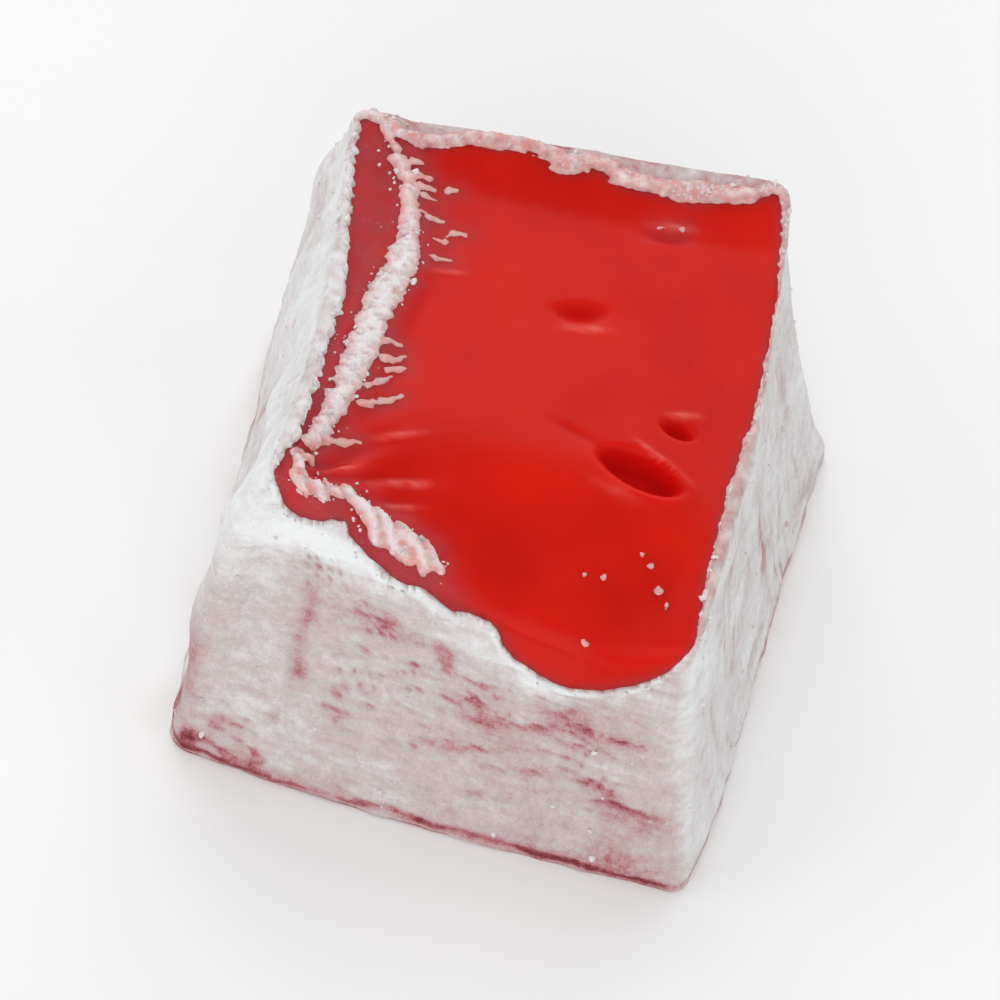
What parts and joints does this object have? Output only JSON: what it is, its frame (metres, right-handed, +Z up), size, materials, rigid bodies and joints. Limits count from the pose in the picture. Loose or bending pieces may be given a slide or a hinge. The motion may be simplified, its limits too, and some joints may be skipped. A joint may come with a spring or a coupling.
{
  "type": "turkish delight cube",
  "caption": "Hand-cut cube of red jelly sweet with a bare, glossy, dished top and powdered sides that spread to a flat base.",
  "frame": {"origin": "centre of the bounding box's base, on the surface that the cube rests on", "axes": "+Z up, -Y towards the low front face, +X towards the right face"},
  "size_m": [0.0294, 0.0322, 0.0188],
  "materials": {
    "jelly": "glossy translucent red starch jelly",
    "powder": "matt white starch and sugar powder, thin and pinkish where it has taken up moisture"
  },
  "bodies": {
    "root": {"delight_cube": "jelly"}
  },
  "joints": []
}
